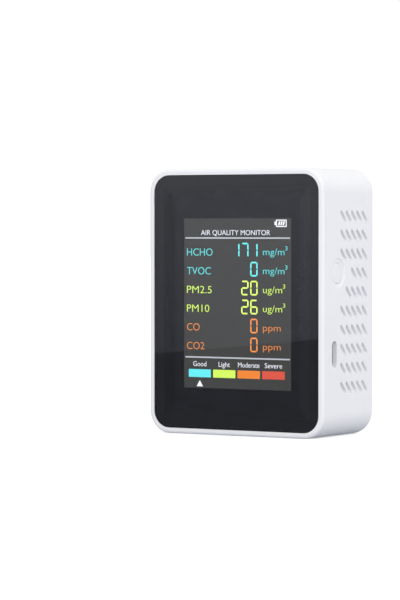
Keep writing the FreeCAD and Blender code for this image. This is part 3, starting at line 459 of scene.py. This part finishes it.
# word, bar's left and right ends, bar's colour
RATINGS = (
    ("Good", -19.64, -10.66, (0.115, 0.75, 0.79)),
    ("Light", -9.69, -0.71, (0.58, 0.84, 0.10)),
    ("Moderate", 0.15, 9.16, (0.75, 0.205, 0.024)),
    ("Severe", 10.05, 19.0, (0.61, 0.078, 0.043)),
)
WORD_WIDTHS = (5.4, 4.6, 8.6, 6.9)
WORD_BASE = 23.66
WORD_TALL = 1.8
BAR_LOW = 19.85
BAR_HIGH = 22.6
BAR_CORNER = 0.12

POINTER = ((-16.43, 16.66), (-13.85, 16.66), (-15.14, 18.8))

BATTERY_LEFT = 14.9
BATTERY_RIGHT = 19.7
BATTERY_LOW = 72.0
BATTERY_HIGH = 74.5

SEGMENTS = {
    "0": ("top", "upper_left", "upper_right", "lower_left", "lower_right", "bottom"),
    "1": ("upper_right", "lower_right"),
    "2": ("top", "upper_right", "middle", "lower_left", "bottom"),
    "6": ("top", "upper_left", "middle", "lower_left", "lower_right", "bottom"),
    "7": ("top", "upper_right", "lower_right"),
}

SCREEN_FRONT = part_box("lcd_glass")[0].y
GLYPH_DEEP = 0.03 * MM
GLYPH_GAP = 0.01 * MM


def glow(name, colour):
    """A lit colour of the screen, with the faint beading of its dots."""
    made = Finish(name, lighter(colour, UNLIT), 0.0, specular=PANEL_GLOSS, glow=1.0)
    dots = made.bands(DOT_PITCH, "Z")
    made.colours(dots, lighter(colour, 0.93), lighter(colour, 1.03), 0.2, 0.8, "Emission Color")
    return made.material


def screen_piece(name, mesh, material):
    """A screen glyph as an object that rides with the monitor."""
    mesh.materials.clear()
    mesh.materials.append(material)
    piece = bpy.data.objects.new(name, mesh)
    bpy.context.scene.collection.objects.link(piece)
    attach(piece, "monitor")


def plates(name, outlines, material):
    """Thin lit plates, one for each outline of (across, up) points in millimetres."""
    front = SCREEN_FRONT - GLYPH_GAP - GLYPH_DEEP
    points, faces = [], []
    for outline in outlines:
        first = len(points)
        count = len(outline)
        for depth in (front, front + GLYPH_DEEP):
            points += [(across * MM, depth, up * MM) for across, up in outline]
        faces.append([first + n for n in range(count)])
        faces.append([first + count + n for n in reversed(range(count))])
        for n in range(count):
            after = (n + 1) % count
            faces.append([first + n, first + count + n, first + count + after, first + after])
    mesh = bpy.data.meshes.new(name)
    mesh.from_pydata(points, [], faces)
    mesh.validate()
    screen_piece(name, mesh, material)


def letters(name, words, left, right, base, tall, material, weight=0.0):
    """Lettering of the built-in typeface at size `tall`, fitted between left and right on a baseline."""
    curve = bpy.data.curves.new(name + "_type", "FONT")
    curve.body = words
    curve.resolution_u = 4
    curve.offset = weight
    curve.extrude = TYPE_DEPTH
    holder = bpy.data.objects.new(name + "_type", curve)
    bpy.context.scene.collection.objects.link(holder)
    bpy.context.view_layer.update()
    mesh = bpy.data.meshes.new_from_object(holder)
    bpy.data.objects.remove(holder)
    bpy.data.curves.remove(curve)
    low = min(point.co.x for point in mesh.vertices)
    high = max(point.co.x for point in mesh.vertices)
    front = SCREEN_FRONT - GLYPH_GAP - GLYPH_DEEP
    wide_scale = (right - left) / (high - low)
    for point in mesh.vertices:
        across = left + (point.co.x - low) * wide_scale
        up = base + point.co.y * tall
        depth = front if point.co.z > 0 else front + GLYPH_DEEP
        point.co = (across * MM, depth, up * MM)
    screen_piece(name, mesh, material)


def mirrored(outline, wide=None, tall=None):
    """The outline flipped across the digit's middle, sideways, upright or both."""
    made = [(wide - x if wide else x, tall - z if tall else z) for x, z in outline]
    return made if wide and tall else made[::-1]


def digit_outlines():
    """The seven strokes of a digit cell, by name, from its lower left corner."""
    wide, tall, thick, gap, cut = DIGIT_WIDE, DIGIT_TALL, STROKE, STROKE_GAP, CORNER_CUT
    half = tall / 2
    near = (cut - gap) / 2
    far = (cut + gap) / 2
    top = [
        (thick + gap, tall - thick),
        (wide - thick - gap, tall - thick),
        (wide - far, tall - near),
        (wide - cut, tall),
        (cut, tall),
        (far, tall - near),
    ]
    upper_left = [
        (0, half + gap),
        (thick * STROKE_TAPER, half + gap),
        (thick, half + thick / 2 + gap),
        (thick, tall - thick - gap),
        (near, tall - far),
        (0, tall - cut),
    ]
    middle = [
        (thick / 2 + gap, half),
        (thick + gap, half - thick / 2),
        (wide - thick - gap, half - thick / 2),
        (wide - thick / 2 - gap, half),
        (wide - thick - gap, half + thick / 2),
        (thick + gap, half + thick / 2),
    ]
    return {
        "top": top,
        "bottom": mirrored(top, tall=tall),
        "middle": middle,
        "upper_left": upper_left,
        "upper_right": mirrored(upper_left, wide=wide),
        "lower_left": mirrored(upper_left, tall=tall),
        "lower_right": mirrored(upper_left, wide=wide, tall=tall),
    }


def reading(name, digits, base, material):
    """A right-aligned number in seven-stroke digits."""
    strokes = digit_outlines()
    outlines = []
    for n, digit in enumerate(reversed(digits)):
        left = DIGIT_RIGHT - DIGIT_WIDE - n * DIGIT_PITCH
        for stroke in SEGMENTS[digit]:
            outlines.append([(left + x, base - DIGIT_DROP + z) for x, z in strokes[stroke]])
    plates(name, outlines, material)


def rectangle(left, right, low, high, corner=0.0):
    """A rectangle's outline, with its corners cut when `corner` says so."""
    if not corner:
        return [(left, low), (right, low), (right, high), (left, high)]
    return [(left + corner, low), (right - corner, low), (right, low + corner), (right, high - corner),
            (right - corner, high), (left + corner, high), (left, high - corner), (left, low + corner)]


def make_rows():
    """The six readings, each with its label and unit."""
    for number, (label, label_right, digits, unit, unit_right, colour) in enumerate(ROWS):
        base = FIRST_BASELINE - number * ROW_PITCH
        key = label.lower().replace(".", "_")
        dim = glow("screen_text_" + key, colour)
        bright = glow("screen_digits_" + key, lighter(colour, BRIGHTER))
        letters("label_" + key, label, LABEL_LEFT, label_right, base, LABEL_TALL / CAPITAL, dim, THINNER)
        reading("reading_" + key, digits, base, bright)
        unit_base = base + UNIT_LIFT
        letters("unit_" + key, unit, UNIT_LEFT, unit_right, unit_base, UNIT_TALL / SMALL, dim, THINNER)
        if unit.endswith("/m"):
            left = unit_right + POWER_GAP
            letters("unit_power_" + key, "3", left, left + POWER_WIDE, unit_base + POWER_LIFT,
                    POWER_TALL / CAPITAL, dim)


def make_battery_icon(material):
    """Charge symbol: a case with a nub on its left and three slanted bars."""
    wall, nub, slant, bar, bars = 0.36, 0.62, 0.42, 0.62, 3
    inset = 1.6 * wall
    left = BATTERY_LEFT + nub
    low, high, right = BATTERY_LOW, BATTERY_HIGH, BATTERY_RIGHT
    outlines = [
        rectangle(left, right, high - wall, high),
        rectangle(left, right, low, low + wall),
        rectangle(left, left + wall, low + wall, high - wall),
        rectangle(right - wall, right, low + wall, high - wall),
        rectangle(BATTERY_LEFT, left, low + nub, high - nub),
    ]
    first = left + 2 * wall
    step = (right - wall - slant - first) / bars
    for n in range(bars):
        x = first + n * step
        outlines.append([(x, low + inset), (x + bar, low + inset),
                         (x + bar + slant, high - inset), (x + slant, high - inset)])
    plates("battery_icon", outlines, material)


def make_screen():
    """Everything that the display shows."""
    pale = glow("screen_pale", PALE)
    white = glow("screen_white", WHITE)
    lettering = glow("screen_lettering", LETTERING)
    letters("heading", HEADING, *HEADING_ENDS, HEADING_BASE, HEADING_TALL / CAPITAL, lettering)
    for number, height in enumerate(RULES):
        outline = rectangle(-RULE_HALF, RULE_HALF, height - RULE_TALL / 2, height + RULE_TALL / 2)
        plates(f"rule_{number + 1}", [outline], pale)
    make_battery_icon(white)
    make_rows()
    for (word, left, right, colour), wide in zip(RATINGS, WORD_WIDTHS):
        middle = (left + right) / 2
        key = word.lower()
        letters("rating_word_" + key, word, middle - wide / 2, middle + wide / 2, WORD_BASE,
                WORD_TALL / CAPITAL, lettering)
        bar = rectangle(left, right, BAR_LOW, BAR_HIGH, BAR_CORNER)
        plates("rating_bar_" + key, [bar], glow("screen_bar_" + key, colour))
    plates("rating_pointer", [list(POINTER)], white)


# ---------------------------------------------------------------- studio and camera

CAMERA_PLACE = (0.50866, -0.85657, 0.07192)
CAMERA_HEADING = 31.934
CAMERA_PITCH = -1.462
CAMERA_LENS = 171.135
SENSOR = 36.0

FLOOR_HALF = 5.0
FLOOR_DROP = 0.1 * MM  # distance between the floor's sheets, so that they don't coincide
FLOOR_TONE = (0.75, 0.75, 0.755)
FLOOR_GLOW = (0.52, 0.52, 0.52)
BOUNCE_TONE = (0.51, 0.525, 0.575)
MIRRORED_FLOOR = (0.36, 0.37, 0.44)
BLACK = (0, 0, 0)
WORLD_LIGHT = 0.885
BACKDROP_LIGHT = 1.02
CARD_LOW = (0.78, 0.80, 0.92)
CARD_HIGH = (1.16, 1.18, 1.32)
CARD_SHADED = 0.11  # height over which the card turns from low to high
CARD_FOOT = ((-0.342, -0.27), (-0.421, -1.03))
CARD_TALL = 0.6

KEY_PLACE = (1.15, -1.1, 0.6)
KEY_TARGET = (0.0, 0.0, 0.05)
KEY_SIDE = 1.0
KEY_RADIANCE = 2.75


def make_camera():
    data = bpy.data.cameras.new("camera")
    data.sensor_fit = "AUTO"
    data.sensor_width = SENSOR
    data.lens = CAMERA_LENS
    data.clip_start = 0.01
    data.clip_end = 50.0
    camera = bpy.data.objects.new("camera", data)
    camera.location = CAMERA_PLACE
    camera.rotation_euler = (math.radians(90 + CAMERA_PITCH), 0.0, math.radians(CAMERA_HEADING))
    bpy.context.scene.collection.objects.link(camera)
    bpy.context.scene.camera = camera


def make_world():
    """Even white studio light from all round."""
    world = bpy.data.worlds.new("studio")
    bpy.context.scene.world = world
    world.use_nodes = True
    background = world.node_tree.nodes["Background"]
    background.inputs["Color"].default_value = (1.0, 1.0, 1.0, 1.0)
    background.inputs["Strength"].default_value = WORLD_LIGHT


def sheet(name, corners, colour, shine, seen=False, lights=False, mirrored=False, faces=((0, 1, 2, 3),)):
    """A stage sheet that only the chosen rays meet: the camera's, those that light things, mirrored ones."""
    mesh = bpy.data.meshes.new(name)
    mesh.from_pydata(corners, [], faces)
    finish = Finish(name, colour, 0.7, specular=0.2)
    finish.shader.inputs["Emission Color"].default_value = (*shine, 1.0)
    finish.shader.inputs["Emission Strength"].default_value = 1.0
    finish.roughens(finish.clouds(20 * MM), 0.64, 0.76)
    mesh.materials.append(finish.material)
    made = bpy.data.objects.new(name, mesh)
    made.visible_camera = seen
    made.visible_diffuse = lights
    made.visible_glossy = mirrored
    made.visible_transmission = mirrored
    made.visible_shadow = False
    bpy.context.scene.collection.objects.link(made)
    return finish


def level(height):
    """Corners of the floor's square at a height."""
    half = FLOOR_HALF
    return [(-half, -half, height), (half, -half, height), (half, half, height), (-half, half, height)]


def make_floor():
    """A pale floor that runs into the white background. It is duller where it lights or is mirrored."""
    sheet("floor_seen", level(0.0), FLOOR_TONE, FLOOR_GLOW, seen=True)
    sheet("floor_bounce", level(-FLOOR_DROP), BOUNCE_TONE, BLACK, lights=True)
    sheet("floor_mirrored", level(-2 * FLOOR_DROP), BLACK, MIRRORED_FLOOR, mirrored=True)


def make_backdrop():
    """White walls and ceiling round the floor, which only the camera sees."""
    white = (BACKDROP_LIGHT, BACKDROP_LIGHT, BACKDROP_LIGHT)
    walls = tuple((n, (n + 1) % 4, (n + 1) % 4 + 4, n + 4) for n in range(4))
    ceiling = (4, 5, 6, 7)
    corners = level(0.0) + level(FLOOR_HALF)
    sheet("backdrop", corners, BLACK, white, seen=True, faces=(*walls, ceiling))


def make_mirrored_card():
    """An upright card on the left that the upper part of the panel mirrors. It is darker near the floor."""
    (x0, y0), (x1, y1) = CARD_FOOT
    corners = [(x0, y0, 0), (x1, y1, 0), (x1, y1, CARD_TALL), (x0, y0, CARD_TALL)]
    card = sheet("card_mirrored", corners, BLACK, CARD_HIGH, mirrored=True)
    card.colours(card.along("Z"), CARD_LOW, CARD_HIGH, 0.0, CARD_SHADED, "Emission Color")


def make_key_light():
    """A broad square light on the right of the viewer, above the object and facing it."""
    data = bpy.data.lights.new("key_box", "AREA")
    data.shape = "SQUARE"
    data.size = KEY_SIDE
    data.energy = KEY_RADIANCE * math.pi * KEY_SIDE**2
    light = bpy.data.objects.new("key_box", data)
    light.location = KEY_PLACE
    look = Vector(KEY_TARGET) - Vector(KEY_PLACE)
    light.rotation_euler = look.to_track_quat("-Z", "Y").to_euler()
    light.visible_camera = False
    bpy.context.scene.collection.objects.link(light)


bpy.context.scene.view_settings.view_transform = "Standard"
make_camera()
make_world()
make_floor()
make_backdrop()
make_mirrored_card()
make_key_light()
dress_nodes()
make_screen()
